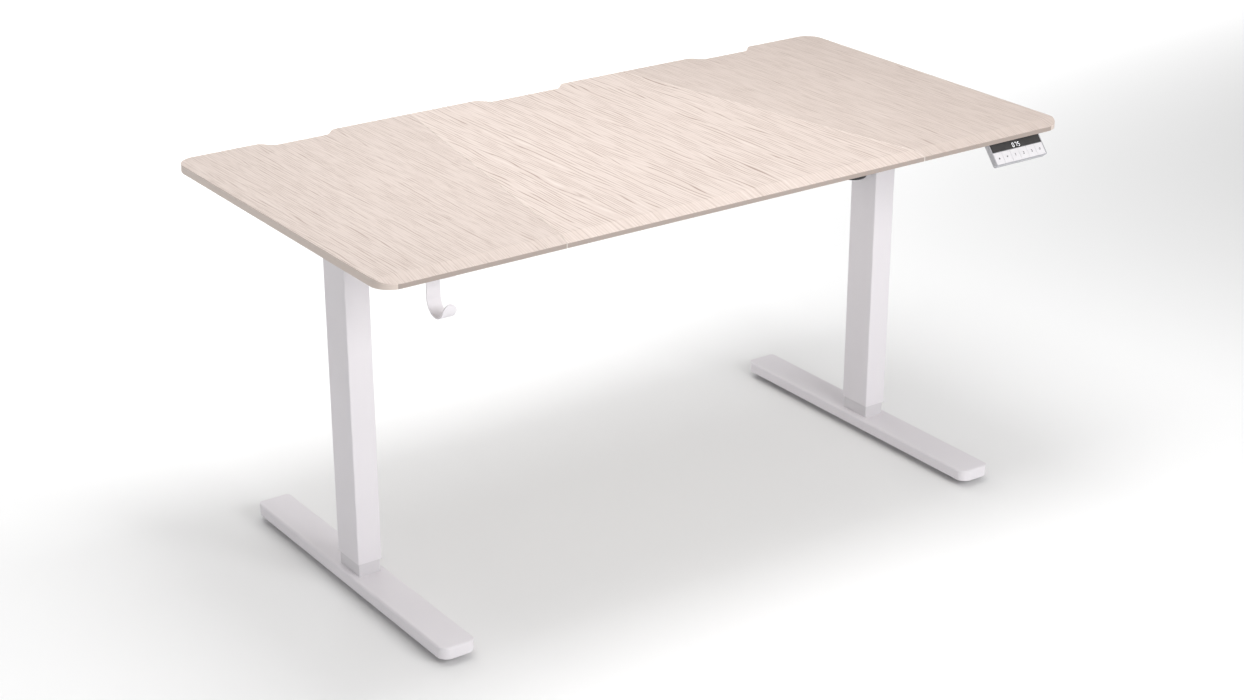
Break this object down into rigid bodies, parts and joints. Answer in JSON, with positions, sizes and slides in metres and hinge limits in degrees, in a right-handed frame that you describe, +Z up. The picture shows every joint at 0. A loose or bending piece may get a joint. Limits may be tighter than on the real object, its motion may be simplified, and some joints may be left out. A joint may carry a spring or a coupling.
{
  "type": "height adjustable standing desk",
  "caption": "Sit-stand desk with a three-piece whitewashed wood top, rear cable notches, telescoping white columns, long flat feet, a tilted handset and a headphone hook.",
  "frame": {"origin": "floor level, at the middle of the desk's footprint", "axes": "+X to the user's right, +Y away from the user, +Z up"},
  "size_m": [1.5, 0.76, 0.75],
  "materials": {
    "board": "whitewashed open grain, matt",
    "dowel_wood": "beech, plain",
    "white_paint": "white powder coat, fine texture",
    "zinc_steel": "zinc plated",
    "bright_steel": "ground and oiled",
    "black_rubber": "matt black",
    "slide_plastic": "natural acetal",
    "black_housing": "moulded, fine texture",
    "black_metal": "black enamel",
    "handset_shell": "moulded, light grey",
    "display_window": "dark tinted window",
    "circuit_board": "green solder mask",
    "key_cap": "white, semi gloss",
    "lead_sheath": "black sheath"
  },
  "bodies": {
    "left_base": {"foot_left": "white_paint", "foot_bolts_left": "zinc_steel", "inner_tube_left": "white_paint", "screw_nut_left": "slide_plastic", "slide_cap_left": "slide_plastic"},
    "top_frame": {"tabletop_left": "board", "tabletop_middle": "board", "tabletop_right": "board", "joint_dowels": "dowel_wood", "side_bracket_left": "white_paint", "side_bracket_right": "white_paint", "beam_outer_rails": "white_paint", "beam_inner_rails": "white_paint", "outer_tube_left": "white_paint", "outer_tube_right": "white_paint", "headphone_hook": "white_paint", "joining_plates": "zinc_steel", "wood_screws": "zinc_steel", "beam_screws": "zinc_steel", "bracket_bolts": "zinc_steel", "screw_bearings": "bright_steel", "bracket_pads": "black_rubber", "guide_collars": "slide_plastic", "gearbox_left": "black_housing", "gearbox_right": "black_housing", "drive_case": "black_housing", "control_box_cover": "black_housing", "control_box_base": "black_housing", "mains_inlet": "black_housing", "reducer_case": "black_metal", "motor_can": "black_metal", "motor_end_cap": "black_metal", "handset_case": "handset_shell", "handset_display": "display_window", "handset_board": "circuit_board", "handset_lead": "lead_sheath", "motor_lead": "lead_sheath", "lead_clips": "lead_sheath"},
    "right_base": {"foot_right": "white_paint", "foot_bolts_right": "zinc_steel", "inner_tube_right": "white_paint", "screw_nut_right": "slide_plastic", "slide_cap_right": "slide_plastic"},
    "screw_left": {"lead_screw_left": "bright_steel"},
    "screw_right": {"lead_screw_right": "bright_steel"},
    "rod_drive": {"hex_rod": "bright_steel", "rod_gears": "bright_steel", "drive_wheel": "bright_steel"},
    "pinion_shaft": {"motor_pinion": "bright_steel"},
    "levelling_left_front": {"glide_left_front": "black_rubber"},
    "levelling_left_rear": {"glide_left_rear": "black_rubber"},
    "levelling_right_front": {"glide_right_front": "black_rubber"},
    "levelling_right_rear": {"glide_right_rear": "black_rubber"},
    "key_up_cap": {"key_up": "key_cap"},
    "key_down_cap": {"key_down": "key_cap"},
    "key_one_cap": {"key_one": "key_cap"},
    "key_two_cap": {"key_two": "key_cap"},
    "key_three_cap": {"key_three": "key_cap"},
    "key_save_cap": {"key_save": "key_cap"}
  },
  "joints": [
    {"name": "lift", "type": "slide", "parent": "left_base", "child": "top_frame", "axis": [0, 0, 1], "range_m": [-0.022, 0.43]},
    {"name": "right_leg_slide", "type": "slide", "parent": "top_frame", "child": "right_base", "axis": [0, 0, -1], "range_m": [-0.022, 0.43]},
    {"name": "screw_left_turn", "type": "hinge", "parent": "top_frame", "child": "screw_left", "pos_m": [-0.61, 0, 0.709], "axis": [0, 0, 1], "continuous": true},
    {"name": "screw_right_turn", "type": "hinge", "parent": "top_frame", "child": "screw_right", "pos_m": [0.61, 0, 0.709], "axis": [0, 0, 1], "continuous": true},
    {"name": "rod_turn", "type": "hinge", "parent": "top_frame", "child": "rod_drive", "pos_m": [0, 0, 0.709], "axis": [1, 0, 0], "continuous": true},
    {"name": "pinion_turn", "type": "hinge", "parent": "top_frame", "child": "pinion_shaft", "pos_m": [0.553, 0, 0.709], "axis": [0, 0, 1], "continuous": true},
    {"name": "glide_left_front_adjust", "type": "slide", "parent": "left_base", "child": "levelling_left_front", "axis": [0, 0, -1], "range_m": [0, 0.01]},
    {"name": "glide_left_rear_adjust", "type": "slide", "parent": "left_base", "child": "levelling_left_rear", "axis": [0, 0, -1], "range_m": [0, 0.01]},
    {"name": "glide_right_front_adjust", "type": "slide", "parent": "right_base", "child": "levelling_right_front", "axis": [0, 0, -1], "range_m": [0, 0.01]},
    {"name": "glide_right_rear_adjust", "type": "slide", "parent": "right_base", "child": "levelling_right_rear", "axis": [0, 0, -1], "range_m": [0, 0.01]},
    {"name": "key_up_press", "type": "slide", "parent": "top_frame", "child": "key_up_cap", "axis": [0, 0.7771, -0.6293], "range_m": [0, 0.0008], "stiffness_N_per_m": 500, "springref_m": -0.001},
    {"name": "key_down_press", "type": "slide", "parent": "top_frame", "child": "key_down_cap", "axis": [0, 0.7771, -0.6293], "range_m": [0, 0.0008], "stiffness_N_per_m": 500, "springref_m": -0.001},
    {"name": "key_one_press", "type": "slide", "parent": "top_frame", "child": "key_one_cap", "axis": [0, 0.7771, -0.6293], "range_m": [0, 0.0008], "stiffness_N_per_m": 500, "springref_m": -0.001},
    {"name": "key_two_press", "type": "slide", "parent": "top_frame", "child": "key_two_cap", "axis": [0, 0.7771, -0.6293], "range_m": [0, 0.0008], "stiffness_N_per_m": 500, "springref_m": -0.001},
    {"name": "key_three_press", "type": "slide", "parent": "top_frame", "child": "key_three_cap", "axis": [0, 0.7771, -0.6293], "range_m": [0, 0.0008], "stiffness_N_per_m": 500, "springref_m": -0.001},
    {"name": "key_save_press", "type": "slide", "parent": "top_frame", "child": "key_save_cap", "axis": [0, 0.7771, -0.6293], "range_m": [0, 0.0008], "stiffness_N_per_m": 500, "springref_m": -0.001}
  ],
  "couplings": [
    {"joint": "right_leg_slide", "follows": "lift", "ratio": 1},
    {"joint": "screw_left_turn", "follows": "lift", "rad_per_m": 1047.2},
    {"joint": "screw_right_turn", "follows": "lift", "rad_per_m": 1047.2},
    {"joint": "rod_turn", "follows": "lift", "rad_per_m": 1047.2},
    {"joint": "pinion_turn", "follows": "lift", "rad_per_m": 2094.4}
  ]
}
